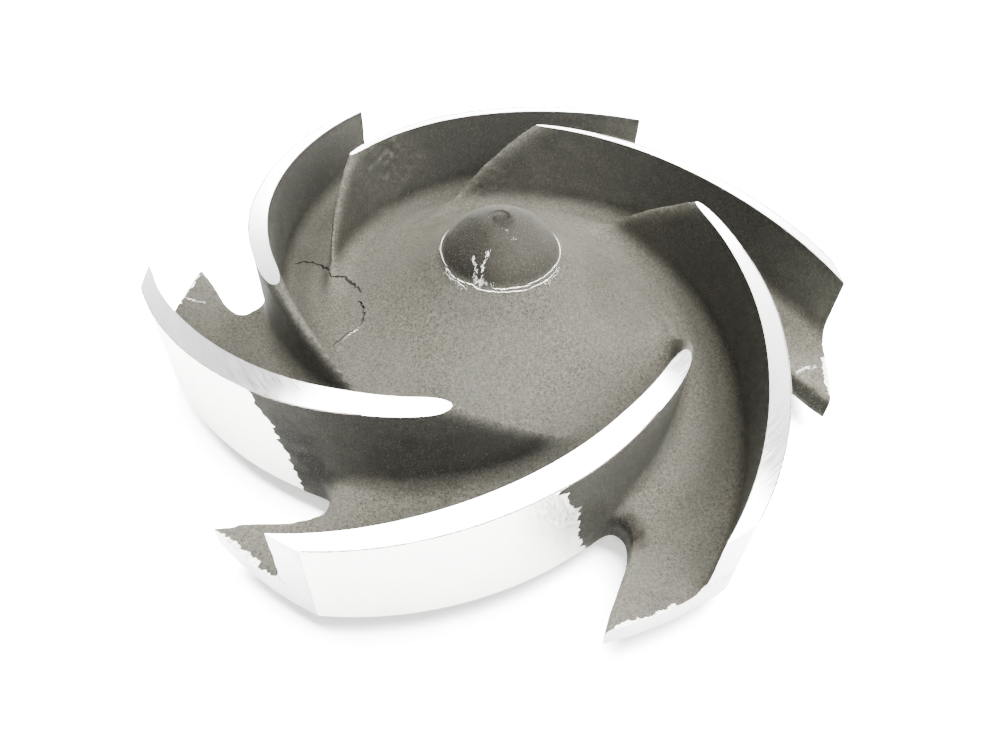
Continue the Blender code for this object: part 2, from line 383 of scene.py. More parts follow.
@dataclass
class Blank:
    """The casting as it leaves the sand: hub, shroud with scallops, and vanes.

    Attributes:
        stock: Metal left on the back and the front for turning.
        wall_stock: Metal left on the scallops' walls for grinding.
        web_edge: (share of the rim radius, degrees) points of a web's free edge.
        web_shift: Degrees by which each web's edge is turned, away from the rim.
        rim_shift: The same at the rim.
        nose_spare: Length added to each leading edge for what smoothing takes off.
        scallop_inner: Mean-line share at which the scallop's wall along the vane starts.
        foot_reach: How far the foot's flare carries the leading edge inwards.
    """

    stock: float = 0.004
    wall_stock: float = 0.0002
    segments: int = 256
    stations: int = 110
    nose_stations: int = 14
    levels: int = 26
    foot_sink: float = 0.004
    outer: float = 1.03
    web_edge: tuple[tuple[float, float], ...] = (
        (1.300, 0.0), (1.300, 22.0), (1.300, 42.0), (1.060, 43.6), (1.000, 45.3),
        (0.960, 46.6), (0.920, 48.5), (0.885, 50.4), (0.860, 52.0), (0.830, 53.7),
        (0.800, 55.0), (0.780, 55.6), (0.760, 55.7), (0.743, 55.0), (0.7335, 53.9),
        (0.7335, 52.5), (0.7385, 51.2),
    )
    web_shift: tuple[float, ...] = (0.0, 1.0, 2.1, 2.0, 0.0, 1.0)
    rim_shift: tuple[float, ...] = (0.0, 0.0, -0.85, -0.5, -0.6, -0.7)
    nose_spare: tuple[float, ...] = (0.0012, 0.0010, 0.0012, 0.0016, -0.0002, 0.0014)
    scallop_inner: float = 0.712
    foot_reach: float = 1.1

    def build(self) -> bpy.types.Object:
        """Builds the blank.

        Returns:
            One object whose overlapping solids are still to be fused.
        """
        blank = self.hub_and_shroud()
        for number in range(LAW.vane_count):
            cut(blank, self.scallop(number))
        joined(blank, [self.vane(number) for number in range(LAW.vane_count)])
        return blank

    def hub_and_shroud(self) -> bpy.types.Object:
        """Turned body with stock at the back and the rim."""
        radius, base = LAW.rim_radius, LAW.boss_height
        outer = self.outer * radius
        profile = [
            (0.0, -self.stock), (LAW.boss_radius, -self.stock),
            (LAW.boss_radius, base - self.stock), (outer, base - self.stock),
        ]
        for k in range(90):
            r = outer + (LAW.nose_ring * radius - outer) * k / 89
            profile.append((r, base + LAW.hub_height(r)))
        sphere = LAW.nose_sphere * radius
        centre = base + LAW.nose_top * radius - sphere
        first = math.asin(LAW.nose_ring / LAW.nose_sphere)
        for k in range(25):
            angle = first * (1.0 - k / 24)
            profile.append((sphere * math.sin(angle), centre + sphere * math.cos(angle)))
        return turned(CASTING, profile, self.segments)

    def vane_point(self, share: float, side: int, rise: float, spare: float) -> Point:
        """Point of vane 0's skin.

        Args:
            share: From 0 at the leading edge to 1 past the rim.
            side: 1 on the back, -1 on the hollow side.
            rise: From 0 inside the shroud to 1 above the turned front.
            spare: How much longer the leading edge is, for what smoothing takes off.

        Returns:
            The point.
        """
        radius = LAW.rim_radius * (0.55 + 0.45 * share)
        for _ in range(9):
            foot = LAW.hub_height(radius)
            low = foot - self.foot_sink
            high = LAW.front_height(radius) + self.stock
            height = low + (high - low) * rise
            flare = LAW.foot_flare(height - foot, radius, side)
            edge = LAW.lead_edge(height)
            sine = LAW.mean_line(edge)[4]
            shift = LAW.nose_lean * LAW.rim_radius
            edge -= self.foot_reach * flare + shift * math.sqrt(1.0 - sine ** 2) + spare * sine
            mean = edge + (self.outer * LAW.rim_radius - edge) * share
            x, y, nx, ny, _ = LAW.mean_line(mean)
            along = (mean - edge) / sine
            nose = LAW.nose_length * LAW.rim_radius + flare
            fullness = math.sqrt(1.0 - (1.0 - min(along / nose, 1.0)) ** 2)
            lean = shift * (1.0 - smoothstep(0.0, 4.0 * nose, along))
            offset = side * (LAW.thickness(mean) + flare) * fullness + lean
            x, y = x + nx * offset, y + ny * offset
            radius = math.hypot(x, y)
        return (x, y, height + LAW.boss_height)

    def vane(self, number: int) -> bpy.types.Object:
        """One vane, from inside the shroud to above the turned front."""
        nose = 0.030
        shares = [nose * (1 - math.cos(0.5 * math.pi * k / self.nose_stations))
                  for k in range(1, self.nose_stations)]
        shares += [nose + (1.0 - nose) * k / self.stations for k in range(self.stations + 1)]
        loops = []
        for level in range(self.levels + 1):
            rise = level / self.levels
            stations = [(share, -1) for share in reversed(shares)] + [(0.0, 1)]
            stations += [(share, 1) for share in shares]
            loops.append([spun(self.vane_point(share, side, rise, self.nose_spare[number]), number)
                          for share, side in stations])
        return lofted(f"vane_{number}", loops)

    def scallop(self, number: int) -> bpy.types.Object:
        """Prism that opens the rim between a vane's back and the next web."""
        web = []
        for share, degrees in self.web_edge:
            inward = min(1.0, max(0.0, 1.06 - share) / 0.2)
            eased = min(1.0, max(0.0, share - 0.743) / 0.05)
            turn = self.web_shift[number] * inward * eased + self.rim_shift[number] * (1.0 - inward)
            web.append((share, degrees + turn))
        outline = [polar(share, degrees, 0.0)[:2] for share, degrees in web[:4]]
        outline += rounded([polar(share, degrees, 0.0)[:2] for share, degrees in web[3:]], 6)
        steps = 40
        for k in range(steps + 1):
            share = self.scallop_inner + (1.06 - self.scallop_inner) * k / steps
            outline.append(LAW.back_point(share * LAW.rim_radius, self.wall_stock))
        low, high = -2 * LAW.boss_height, 0.6 * LAW.rim_radius
        loops = [[spun((x, y, z), number) for x, y in outline] for z in (low, high)]
        return lofted("scallop", loops)


def rounded(points: list[tuple[float, float]], steps: int) -> list[tuple[float, float]]:
    """Smooth curve through points.

    Args:
        points: Two or more points in the plane.
        steps: Number of parts in each span.

    Returns:
        The curve's points after the first given one.
    """
    ends = [points[0], *points, points[-1]]
    curve = []
    for k in range(1, len(ends) - 2):
        p0, p1, p2, p3 = (np.array(p) for p in ends[k - 1:k + 3])
        for step in range(1, steps + 1):
            u = step / steps
            value = 0.5 * (2 * p1 + (p2 - p0) * u + (2 * p0 - 5 * p1 + 4 * p2 - p3) * u ** 2
                           + (3 * p1 - p0 - 3 * p2 + p3) * u ** 3)
            curve.append((float(value[0]), float(value[1])))
    return curve


@dataclass
class Skin:
    """Fuses the blank and gives it the uneven face of a sand casting."""

    voxel: float = 0.0014
    smoothing: int = 8
    swell: float = 0.00016
    grit: float = 0.00007
    calm_reach: float = 0.010
    pits: tuple[tuple[float, float, float, float], ...] = (
        (0.617, 126.9, 0.380, 0.018), (0.640, 121.0, 0.310, 0.014), (0.560, 95.0, 0.250, 0.012),
    )
    pit_depth: float = 0.0005

    def apply(self, casting: bpy.types.Object) -> None:
        """Fuses, smooths and roughens the casting's mesh."""
        remesh = casting.modifiers.new("fuse", "REMESH")
        remesh.mode = "VOXEL"
        remesh.voxel_size = self.voxel
        smooth = casting.modifiers.new("smooth", "SMOOTH")
        smooth.factor, smooth.iterations = 0.5, self.smoothing
        baked(casting)
        self.roughen(casting.data)

    def roughen(self, mesh: bpy.types.Mesh) -> None:
        """Moves each vertex along its normal by the swell, grit and pits."""
        spots = [(Vector(polar(r, a, z * LAW.rim_radius)), reach) for r, a, z, reach in self.pits]
        moved = []
        for vertex in mesh.vertices:
            place = vertex.co
            edge = LAW.boss_height + LAW.front_height(math.hypot(place.x, place.y)) - place.z
            calm = 0.1 + 0.9 * smoothstep(0.001, self.calm_reach, abs(edge))
            rise = self.swell * calm * noise.fractal(place * 90, 1.0, 2.0, 3)
            rise += self.grit * calm * noise.noise(place * 700)
            for centre, reach in spots:
                near = 1.0 - (place - centre).length / reach
                if near > 0.0:
                    grain = max(noise.noise(place * 520), 0.0)
                    rise -= self.pit_depth * min(near * 2.5, 1.0) * grain * 2.0
            moved.extend(place + vertex.normal * rise)
        mesh.vertices.foreach_set("co", moved)
        mesh.update()


@dataclass
class Machining:
    """Turning, grinding and facing that follow the casting."""

    segments: int = 360
    grind_depth: float = 0.0004
    grind_lift: float = 0.0005
    grind_columns: tuple[int, int] = (40, 14)
    grind_rows: int = 56
    grind_span: tuple[float, float, float] = (0.700, 0.800, 1.050)
    border: tuple[tuple[float, float], ...] = (
        (0.000, 0.727), (0.030, 0.728), (0.090, 0.734), (0.200, 0.737), (0.260, 0.745),
        (0.320, 0.757), (0.345, 0.760),
    )
    mark_place: tuple[float, float] = (0.015, 120.0)
    border_grain: tuple[tuple[float, float], ...] = ((130.0, 0.007), (420.0, 0.0035), (1100.0, 0.005))
    border_blend: float = 0.008
    opened_at: tuple[float, float] = (0.715, 0.722)
    foot_clear: float = 0.005
    front_clear: float = 0.004
    thin_sheet: float = 0.0010
    thick_sheet: float = 0.006
    thick_from: tuple[float, float] = (0.745, 0.775)
    chip_steps: int = 1440
    chip_span: tuple[float, float] = (-15.5, -4.5)
    seed: int = 11

    def apply(self, casting: bpy.types.Object) -> None:
        """Machines the casting."""
        for tool in (self.facing(), self.front(), self.rim(), self.centre_mark()):
            cut(casting, tool)
        for number in range(LAW.vane_count):
            cut(casting, self.grinder(number))
        cut(casting, self.edge_chips())

    def facing(self) -> bpy.types.Object:
        """Turned tool below the back: shroud back, boss face and blind bore."""
        base, far = LAW.boss_height, 1.3 * LAW.rim_radius
        low = -2 * base
        profile = [
            (0.0, LAW.bore_depth), (LAW.bore_radius, LAW.bore_depth),
            (LAW.bore_radius, LAW.bore_chamfer), (LAW.bore_radius + LAW.bore_chamfer, 0.0),
            (LAW.boss_radius - 0.0006, 0.0), (LAW.boss_radius, 0.0006),
            (LAW.boss_radius, base - LAW.boss_fillet),
        ]
        for k in range(1, 7):
            angle = 0.5 * math.pi * k / 6
            profile.append((
                LAW.boss_radius + LAW.boss_fillet * (1 - math.cos(angle)),
                base - LAW.boss_fillet * (1 - math.sin(angle)),
            ))
        profile += [(far, base), (far, low), (0.0, low)]
        return turned("facing", profile, self.segments, Surface.FACED_BACK)

    def front(self) -> bpy.types.Object:
        """Turned tool over the vanes' front edges."""
        radius, base = LAW.rim_radius, LAW.boss_height
        inner, outer = 0.40 * radius, 1.12 * radius
        steps = 60
        profile = []
        for k in range(steps + 1):
            r = inner + (outer - inner) * k / steps
            profile.append((r, base + LAW.front_height(r)))
        top = base + 0.9 * radius
        profile += [(outer, top), (inner, top)]
        return turned("front", profile, self.segments, Surface.TURNED_FRONT)

    def centre_mark(self) -> bpy.types.Object:
        """Shallow dimple with a low button in it, at the top of the nose."""
        reach, top = LAW.mark_radius * LAW.rim_radius, LAW.boss_height + LAW.nose_top * LAW.rim_radius
        deep = LAW.mark_depth * LAW.rim_radius
        section = [(0.0, 0.45), (0.30, 0.50), (0.48, 0.70), (0.62, 0.98), (0.75, 1.0),
                   (0.92, 0.75), (1.0, 0.35), (1.08, -0.6), (0.0, -0.6)]
        profile = [(share * reach, top - drop * deep) for share, drop in section]
        mark = turned("centre_mark", profile, 64)
        mark.data.transform(Matrix.Translation(polar(*self.mark_place, 0.0)[:2] + (0.0,)))
        return mark

    def rim(self) -> bpy.types.Object:
        """Tube that turns the rim to size."""
        radius = LAW.rim_radius
        far, top = 1.2 * radius, LAW.boss_height + radius
        profile = [(radius, -radius), (far, -radius), (far, top), (radius, top)]
        return turned("rim", profile, 2 * self.segments, Surface.TURNED_RIM)

    def grind_offset(self, share: float, height: float, number: int) -> float:
        """How far the ground face stands off the cast back.

        Args:
            share: Radius as a share of the rim radius.
            height: Height above the shroud's back, in metres.
            number: Which vane.

        Returns:
            The offset in metres, above zero where nothing is ground.
        """
        heights, shares = zip(*self.border)
        border = float(np.interp(height / LAW.rim_radius, heights, shares))
        for grain, reach in self.border_grain:
            border += reach * noise.noise(Vector((share * 40, height * grain, number * 7.3)))
        fade = smoothstep(border - self.border_blend, border + self.border_blend, share)
        return self.grind_lift - (self.grind_lift + self.grind_depth) * fade

    def grinder(self, number: int) -> bpy.types.Object:
        """Thick sheet whose inner face is the ground back of a vane."""
        base = LAW.boss_height
        inner, middle, outer = self.grind_span
        dense, sparse = self.grind_columns
        shares = [inner + (middle - inner) * k / dense for k in range(dense)]
        shares += [middle + (outer - middle) * k / sparse for k in range(sparse + 1)]
        loops = []
        for share in shares:
            radius = share * LAW.rim_radius
            opened = smoothstep(*self.opened_at, share)
            foot = LAW.hub_height(radius) + self.foot_clear
            low = foot - opened * (foot + base)
            high = LAW.front_height(radius) + self.front_clear
            thick = self.thin_sheet + self.thick_sheet * smoothstep(*self.thick_from, share)
            near, far = [], []
            for row in range(self.grind_rows + 1):
                height = low + (high - low) * row / self.grind_rows
                offset = self.grind_offset(share, height, number)
                for sheet, reach in ((near, offset), (far, offset + thick)):
                    x, y = LAW.back_point(radius, reach)
                    sheet.append(spun((x, y, height + base), number))
            loops.append(near + far[::-1])
        return lofted("grinder", loops, Surface.GROUND_BACK)

    def edge_chips(self) -> bpy.types.Object:
        """Uneven ring that breaks the upper edge of the rim."""
        rng = Random(self.seed)
        phase = rng.uniform(0.0, 50.0)
        radius = LAW.rim_radius
        top = LAW.boss_height + LAW.hub_height(radius)
        sections = []
        for k in range(self.chip_steps):
            angle = 2 * math.pi * k / self.chip_steps
            place = Vector((math.cos(angle), math.sin(angle), phase))
            coarse = noise.noise(place * 9.0) + 0.6 * noise.noise(place * 31.0)
            fine = noise.noise(place * 75.0) + 0.7 * noise.noise(place * 160.0)
            width = 0.0011 + 0.0013 * max(coarse + 0.2, 0.0) + 0.0011 * fine
            start, end = self.chip_span
            pitch = 360 / LAW.vane_count
            local = (math.degrees(angle) - start) % pitch + start
            width = max(width * (0.15 + 0.85 * smoothstep(0.0, 3.0, local - start)), 0.0002)
            drop = 0.25 * width + 0.0002 * abs(fine)
            away = 0.0 if start < local < end else 0.0015
            sections.append([
                (radius + 0.004, top - drop - 0.0008), (radius + 0.004, top + 0.004),
                (radius - width - 0.0003 + away, top + 0.004), (radius - width + away, top + 0.0001),
                (radius + away, top - drop),
            ])
        return turned("edge_chips", sections[0], self.chip_steps, Surface.BROKEN_EDGE, sections)


@dataclass
class Crack:
    """Hairline crack in the shroud, across the foot of a vane."""

    width: float = 0.00095
    depth: float = 0.0018
    runs: tuple[tuple[tuple[float, float], ...], ...] = (
        ((0.710, 160.5), (0.687, 157.3), (0.647, 157.3), (0.602, 159.4), (0.550, 164.0),
         (0.516, 169.7), (0.490, 167.4), (0.458, 170.0), (0.430, 173.7), (0.404, 179.1)),
        ((0.413, 183.3), (0.403, 186.5), (0.398, 190.1), (0.401, 195.1), (0.414, 198.2)),
        ((0.418, 198.0), (0.454, 198.5), (0.483, 199.5), (0.504, 201.1)),
    )
    widths: tuple[float, ...] = (1.0, 0.9, 0.35)
    jog: float = 0.00045
    seed: int = 5

    def apply(self, casting: bpy.types.Object) -> None:
        """Cuts the crack into the casting as a row of thin wedges."""
        graph = bpy.context.evaluated_depsgraph_get()
        skin = BVHTree.FromObject(casting, graph)
        rng = Random(self.seed)
        for run, share in zip(self.runs, self.widths):
            flat = rounded([polar(r, a, 0.0)[:2] for r, a in run], 4)
            loops = []
            for k, (x, y) in enumerate(flat):
                x += rng.uniform(-self.jog, self.jog)
                y += rng.uniform(-self.jog, self.jog)
                ahead = flat[min(k + 1, len(flat) - 1)]
                back = flat[max(k - 1, 0)]
                along = Vector((ahead[0] - back[0], ahead[1] - back[1], 0.0)).normalized()
                hit, normal, _, _ = skin.ray_cast(Vector((x, y, 0.2)), Vector((0, 0, -1)))
                if hit is None:
                    continue
                side = normal.cross(along).normalized()
                end = min(k, len(flat) - 1 - k) / 4
                half = 0.5 * self.width * share * min(1.0, 0.3 + end) * rng.uniform(0.6, 1.3)
                top = hit + normal * 0.0006
                loops.append([
                    tuple(top - side * half * 1.6), tuple(top + side * half * 1.6),
                    tuple(hit - normal * self.depth + side * half * 0.2),
                    tuple(hit - normal * self.depth - side * half * 0.2),
                ])
            cut(casting, lofted("crack", loops, Surface.CRACK))


@dataclass
class Toning:
    """Light and dark patches, much of them painted shade, kept as a number on each point of the casting."""

    attribute: str = "tone"
    dome: float = -0.70
    passage_painted_shade: float = -0.62
    # Each patch: share of the rim radius, degrees, height share, reach and amount. The four dark ones at
    # 227 to 232 degrees are stains on a vane's back. The dark ones on the hub behind the nose, on the web's
    # edge wall at 345 to 352 degrees and on the dome's lower left are painted shade, and the one in the top
    # dimple is a painted shadow. The rest lighten or darken small areas of the skin.
    patches: tuple[tuple[float, float, float, float, float], ...] = (
        (0.753, 227.5, 0.262, 0.009, -0.75), (0.742, 229.8, 0.200, 0.010, -0.75),
        (0.740, 230.8, 0.120, 0.010, -0.70), (0.738, 231.5, 0.060, 0.008, -0.55),
        (0.340, 100.0, 0.250, 0.030, -0.22),
        (0.735, 284.5, 0.150, 0.012, -0.35), (0.640, 127.0, 0.330, 0.022, 0.35),
        (0.738, 295.4, 0.085, 0.0055, -0.45), (0.775, 296.3, 0.085, 0.005, -0.6),
        (0.815, 295.6, 0.085, 0.004, -0.5), (0.359, 3.0, 0.234, 0.022, -0.20),
        (0.657, 249.4, 0.311, 0.020, 0.12), (0.761, 143.6, 0.088, 0.018, 0.15),
        (0.904, 131.9, 0.139, 0.025, -0.15), (0.100, 225.0, 0.455, 0.016, -0.15),
        (0.990, 345.7, 0.037, 0.0045, -1.0), (0.962, 346.8, 0.037, 0.0045, -1.0),
        (0.935, 348.2, 0.037, 0.0045, -1.0), (0.910, 349.7, 0.037, 0.0045, -1.0),
        (0.886, 351.2, 0.037, 0.0045, -1.0),
        (0.580, 250.0, 0.200, 0.020, -0.35), (0.800, 232.0, 0.090, 0.030, 0.30),
        (0.560, 60.0, 0.250, 0.030, 0.25), (0.930, 351.5, 0.085, 0.010, 0.15),
        (0.130, 212.0, 0.440, 0.013, -0.30), (0.000, 0.0, 0.498, 0.0045, -0.30),
    )

    def apply(self, mesh: bpy.types.Mesh) -> None:
        """Writes the tone of every vertex, from -1 for dark to 1 for light."""
        spots = [(Vector(polar(r, a, z * LAW.rim_radius)), reach, amount)
                 for r, a, z, reach, amount in self.patches]
        values = []
        for vertex in mesh.vertices:
            place = vertex.co
            share = math.hypot(place.x, place.y) / LAW.rim_radius
            value = 0.0
            if place.z > LAW.boss_height + 0.35 * LAW.rim_radius:
                value += self.dome * (1.0 - smoothstep(LAW.nose_ring - 0.012, LAW.nose_ring, share))
            # Painted shade low in the passages, darkest beside the vanes' hollow sides.
            value += self.passage_painted_shade * self.foot_shade(place)
            for centre, reach, amount in spots:
                away = (place - centre).length / reach + 0.35 * noise.noise(place * 160)
                value += amount * (1.0 - smoothstep(0.55, 1.15, away))
            values.append(min(max(value, -1.0), 1.0))
        layer = mesh.attributes.new(self.attribute, "FLOAT", "POINT")
        layer.data.foreach_set("value", values)

    @staticmethod
    def foot_shade(place: Vector) -> float:
        """How dark the painted shade is low in a passage, growing towards a vane's hollow side.

        Args:
            place: Point on the casting.

        Returns:
            A share from 0 to 1, above zero only low in the passages.
        """
        radius = math.hypot(place.x, place.y)
        share = radius / LAW.rim_radius
        if share < 0.45:
            return 0.0
        pitch = 2 * math.pi / LAW.vane_count
        ahead = math.atan2(place.y, place.x) - polynomial(LAW.wrap, 1.0 - share)
        across = (ahead % pitch) / pitch
        lift = (place.z - LAW.boss_height - LAW.hub_height(radius)) / LAW.rim_radius
        shade = smoothstep(0.25, 0.85, across) * smoothstep(0.46, 0.60, share)
        return shade * (1.0 - 0.75 * smoothstep(0.76, 0.88, share)) * (1.0 - smoothstep(0.03, 0.10, lift))


@dataclass
class Ridge:
    """A thin uneven line of metal that stands on the casting.

    Attributes:
        path: (share of the rim radius, degrees) points that it follows.
        width: Its usual width in metres.
        height: How far it stands out.
        ragged: How much width and path vary, from 0 to 1.
        steps: Number of sections between two points of the path.
    """

    path: tuple[tuple[float, float], ...]
    width: float
    height: float
    ragged: float = 0.5
    steps: int = 8

    def loops(self, skin: BVHTree, rng: Random) -> list[list[Point]]:
        """Sections along the ridge.

        Args:
            skin: The casting's surface.
            rng: Source of the unevenness.

        Returns:
            Loops of four points each.
        """
        turned_path = []
        for (r0, a0), (r1, a1) in zip(self.path, self.path[1:]):
            for step in range(self.steps):
                u = step / self.steps
                turned_path.append((r0 + (r1 - r0) * u, a0 + (a1 - a0) * u))
        turned_path.append(self.path[-1])
        loops = []
        last = len(turned_path) - 1
        for k, (share, degrees) in enumerate(turned_path):
            x, y, _ = polar(share, degrees, 0.0)
            x += rng.uniform(-0.3, 0.3) * self.ragged * self.width
            y += rng.uniform(-0.3, 0.3) * self.ragged * self.width
            ahead = Vector(polar(*turned_path[min(k + 1, last)], 0.0))
            behind = Vector(polar(*turned_path[max(k - 1, 0)], 0.0))
            along = (ahead - behind).normalized()
            hit, normal, _, _ = skin.ray_cast(Vector((x, y, 0.2)), Vector((0, 0, -1)))
            if hit is None:
                continue
            side = normal.cross(along).normalized()
            size = min(1.0, 0.25 + min(k, last - k) / 3)
            size *= 1.0 + self.ragged * rng.uniform(-0.6, 0.6)
            size *= max(1.0 + 1.5 * self.ragged * noise.noise(hit * 420), 0.12)
            half, rise = 0.5 * self.width * size, self.height * size
            foot = hit - normal * 0.0003
            loops.append([
                tuple(foot - side * half), tuple(hit - side * 0.3 * half + normal * rise),
                tuple(hit + side * 0.4 * half + normal * rise * 0.7), tuple(foot + side * half),
            ])
        return loops


@dataclass
class Scrape:
    """A rough patch of small bright nicks.

    Attributes:
        path: (share of the rim radius, degrees) points that it follows.
        spread: How far the nicks lie to its sides, in metres.
        count: Number of nicks.
        size: Usual length of a nick in metres.
        width: Usual width of a nick.
        height: How far a nick stands out.
    """

    path: tuple[tuple[float, float], ...]
    spread: float
    count: int
    size: float = 0.0009
    width: float = 0.00042
    height: float = 0.00007

    def nicks(self, rng: Random) -> list[Ridge]:
        """The patch's nicks.

        Args:
            rng: Source of their places and lengths.

        Returns:
            One short ridge for each nick, most of them down the slope.
        """
        found = []
        for _ in range(self.count):
            way = rng.random() * (len(self.path) - 1)
            (r0, a0), (r1, a1) = self.path[int(way)], self.path[int(way) + 1]
            share = r0 + (r1 - r0) * (way % 1.0) + rng.gauss(0.0, 0.6) * self.spread / LAW.rim_radius
            turn = math.degrees(1.0 / (share * LAW.rim_radius))
            degrees = a0 + (a1 - a0) * (way % 1.0) + rng.gauss(0.0, 0.6) * self.spread * turn
            length = self.size * rng.uniform(0.4, 1.3)
            aim = rng.gauss(0.0, 0.6)
            out = 0.5 * length * math.cos(aim) / LAW.rim_radius
            round_axis = 0.5 * length * math.sin(aim) * turn
            line = tuple((share + out * k, degrees + round_axis * k) for k in (-1, 0, 1))
            found.append(Ridge(line, self.width * rng.uniform(0.5, 1.4), self.height, 0.5, 1))
        return found


def ring_line(
    radius: float, start: float, end: float, sway: float = 0.0012,
) -> tuple[tuple[float, float], ...]:
    """Uneven part of a ring round the axis.

    Args:
        radius: Its radius as a share of the rim radius.
        start: Where it starts, in degrees.
        end: Where it ends.
        sway: How far the radius varies.

    Returns:
        The points that it follows.
    """
    count = max(int((end - start) / 5), 2)
    turns = [start + (end - start) * k / count for k in range(count + 1)]
    return tuple((radius + sway * noise.noise(Vector((0.09 * a, 90 * radius, 0.0))), a) for a in turns)


@dataclass
class NoseFlash:
    """Bright flash line round the nose and the scrapes on its dome."""

    seed: int = 21
    ring: tuple[Ridge, ...] = (
        Ridge(ring_line(0.1675, 146, 168), 0.00021, 0.00012, 0.9, 3),
        Ridge(ring_line(0.1670, 164, 190), 0.00050, 0.00020, 0.6, 3),
        Ridge(ring_line(0.1660, 186, 210), 0.00034, 0.00016, 0.5, 3),
        Ridge(ring_line(0.1695, 206, 250, 0.003), 0.00053, 0.00018, 1.0, 3),
        Ridge(ring_line(0.1755, 212, 240, 0.004), 0.00027, 0.00012, 1.0, 3),
        Ridge(ring_line(0.1715, 244, 292), 0.00053, 0.00022, 0.5, 3),
        Ridge(ring_line(0.1710, 286, 334, 0.002), 0.00037, 0.00018, 0.7, 3),
        Ridge(ring_line(0.1665, 262, 300), 0.00042, 0.00018, 0.6, 3),
        Ridge(ring_line(0.1645, 296, 340), 0.00037, 0.00018, 0.6, 3),
        Ridge(ring_line(0.1660, 335, 376), 0.00035, 0.00018, 0.5, 3),
        Ridge(ring_line(0.1660, 373, 392), 0.00021, 0.00012, 0.8, 3),
    )
    scrapes: tuple[Scrape, ...] = (
        Scrape(((0.128, 234.5), (0.143, 243.0)), 0.00045, 18),
        Scrape(((0.105, 252.0), (0.125, 250.5), (0.142, 250.0)), 0.00050, 30),
        Scrape(((0.142, 250.0), (0.156, 251.5)), 0.00020, 9),
        Scrape(((0.150, 243.0), (0.166, 247.5)), 0.00070, 36),
        Scrape(((0.158, 250.0), (0.168, 252.0)), 0.00050, 14),
        Scrape(((0.160, 251.0), (0.163, 264.0)), 0.00015, 9),
        Scrape(((0.172, 208.0), (0.178, 226.0), (0.176, 242.0)), 0.00070, 34, 0.0006, 0.00034),
        Scrape(((0.177, 310.0), (0.174, 340.0)), 0.00045, 24, 0.0006, 0.00032),
        Scrape(((0.168, 160.0), (0.172, 182.0)), 0.00030, 12, 0.0006, 0.00032),
        Scrape(((0.047, 287.0), (0.080, 296.0)), 0.00080, 5, 0.0007, 0.00040),
    )

    def build(self, skin: BVHTree) -> bpy.types.Object:
        """Builds the flash and scrapes on the casting's surface."""
        rng = Random(self.seed)
        nicks = [nick for scrape in self.scrapes for nick in scrape.nicks(rng)]
        return ridges("nose_flash", [*self.ring, *nicks], skin, self.seed)


@dataclass
class Spatter:
    """Bright nicks on two webs and beside the crack."""

    seed: int = 4
    scrapes: tuple[Scrape, ...] = (
        Scrape(((0.418, 198.5), (0.455, 199.5), (0.500, 203.5)), 0.00060, 22, 0.0011, 0.00045),
        Scrape(((0.905, 350.5), (0.930, 352.0), (0.965, 352.5)), 0.00080, 40, 0.0012, 0.00055, 0.00010),
        Scrape(((0.990, 173.8), (0.920, 174.7)), 0.00035, 20, 0.0011, 0.00050, 0.00010),
    )

    def build(self, skin: BVHTree) -> bpy.types.Object:
        """Builds the nicks on the casting's surface."""
        rng = Random(self.seed)
        nicks = [nick for scrape in self.scrapes for nick in scrape.nicks(rng)]
        return ridges("spatter", nicks, skin, self.seed)


@dataclass
class EdgeBurr:
    """Rolled burr where the turned front meets each vane's back, coloured dark as painted shade along the
    edge.
    """

    reach: float = 0.00024
    span: tuple[float, float] = (0.660, 0.982)
    steps: int = 150
    ground_from: float = 0.755
    seed: int = 33

    def build(self) -> bpy.types.Object:
        """Builds the burrs of all vanes as one object."""
        rng = Random(self.seed)
        parts = []
        for number in range(LAW.vane_count):
            loops = [[spun(point, number) for point in self.section(k, rng)]
                     for k in range(self.steps + 1)]
            parts.append(lofted("edge_burr", loops, Surface.BURR_PAINTED_SHADE))
        joined(parts[0], parts[1:])
        parts[0].data.shade_smooth()
        return parts[0]

    def section(self, step: int, rng: Random) -> list[Point]:
        """Section of vane 0's burr.

        Args:
            step: Which of the steps along it.
            rng: Source of the unevenness.

        Returns:
            Four points round the edge.
        """
        low, high = self.span
        share = low + (high - low) * step / self.steps
        radius = share * LAW.rim_radius
        ground = smoothstep(self.ground_from - 0.02, self.ground_from + 0.02, share)
        x, y = LAW.back_point(radius, -Machining.grind_depth * ground)
        height = LAW.boss_height + LAW.front_height(math.hypot(x, y))
        _, _, nx, ny, _ = LAW.mean_line(radius)
        size = self.reach * rng.uniform(0.55, 1.25)
        return [
            (x + nx * size, y + ny * size, height), (x, y, height + size),
            (x - nx * size, y - ny * size, height), (x, y, height - 1.6 * size),
        ]


def ridges(name: str, lines: list[Ridge], skin: BVHTree, seed: int) -> bpy.types.Object:
    """One object of several ridges.

    Args:
        name: Name of the object.
        lines: The ridges.
        skin: The casting's surface.
        seed: Start of the random draws.

    Returns:
        The object, in the finish of broken metal.
    """
    rng = Random(seed)
    parts = [lofted(name, line.loops(skin, rng), Surface.BROKEN_EDGE) for line in lines]
    joined(parts[0], parts[1:])
    parts[0].data.shade_smooth()
    return parts[0]


# Finishes

Socket = bpy.types.NodeSocket
Value = float | tuple[float, ...] | Socket


